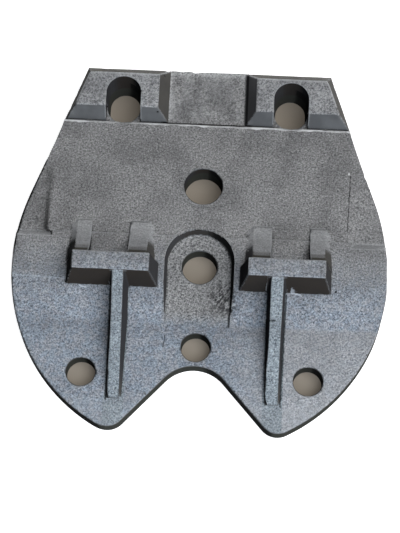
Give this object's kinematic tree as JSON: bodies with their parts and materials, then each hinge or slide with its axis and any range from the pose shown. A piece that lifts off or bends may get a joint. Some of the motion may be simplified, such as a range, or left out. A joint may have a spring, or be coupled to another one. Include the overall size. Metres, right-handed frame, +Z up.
{
  "type": "crusher jaw plate",
  "caption": "Cast jaw plate for a crusher, mounting side: drafted bolting blocks with slots, a hollow middle channel, upright lugs with gussets, and rounded lobes with bolt holes.",
  "frame": {"origin": "middle of the flat hidden face that the plate lies on", "axes": "+X across the plate, +Y from the two lobes to the bolting blocks, +Z up out of the mounting side"},
  "size_m": [0.4728, 0.4772, 0.088],
  "materials": {
    "cast_steel": "rough sand-cast skin, bare"
  },
  "bodies": {
    "root": {"jaw_plate": "cast_steel"}
  },
  "joints": []
}
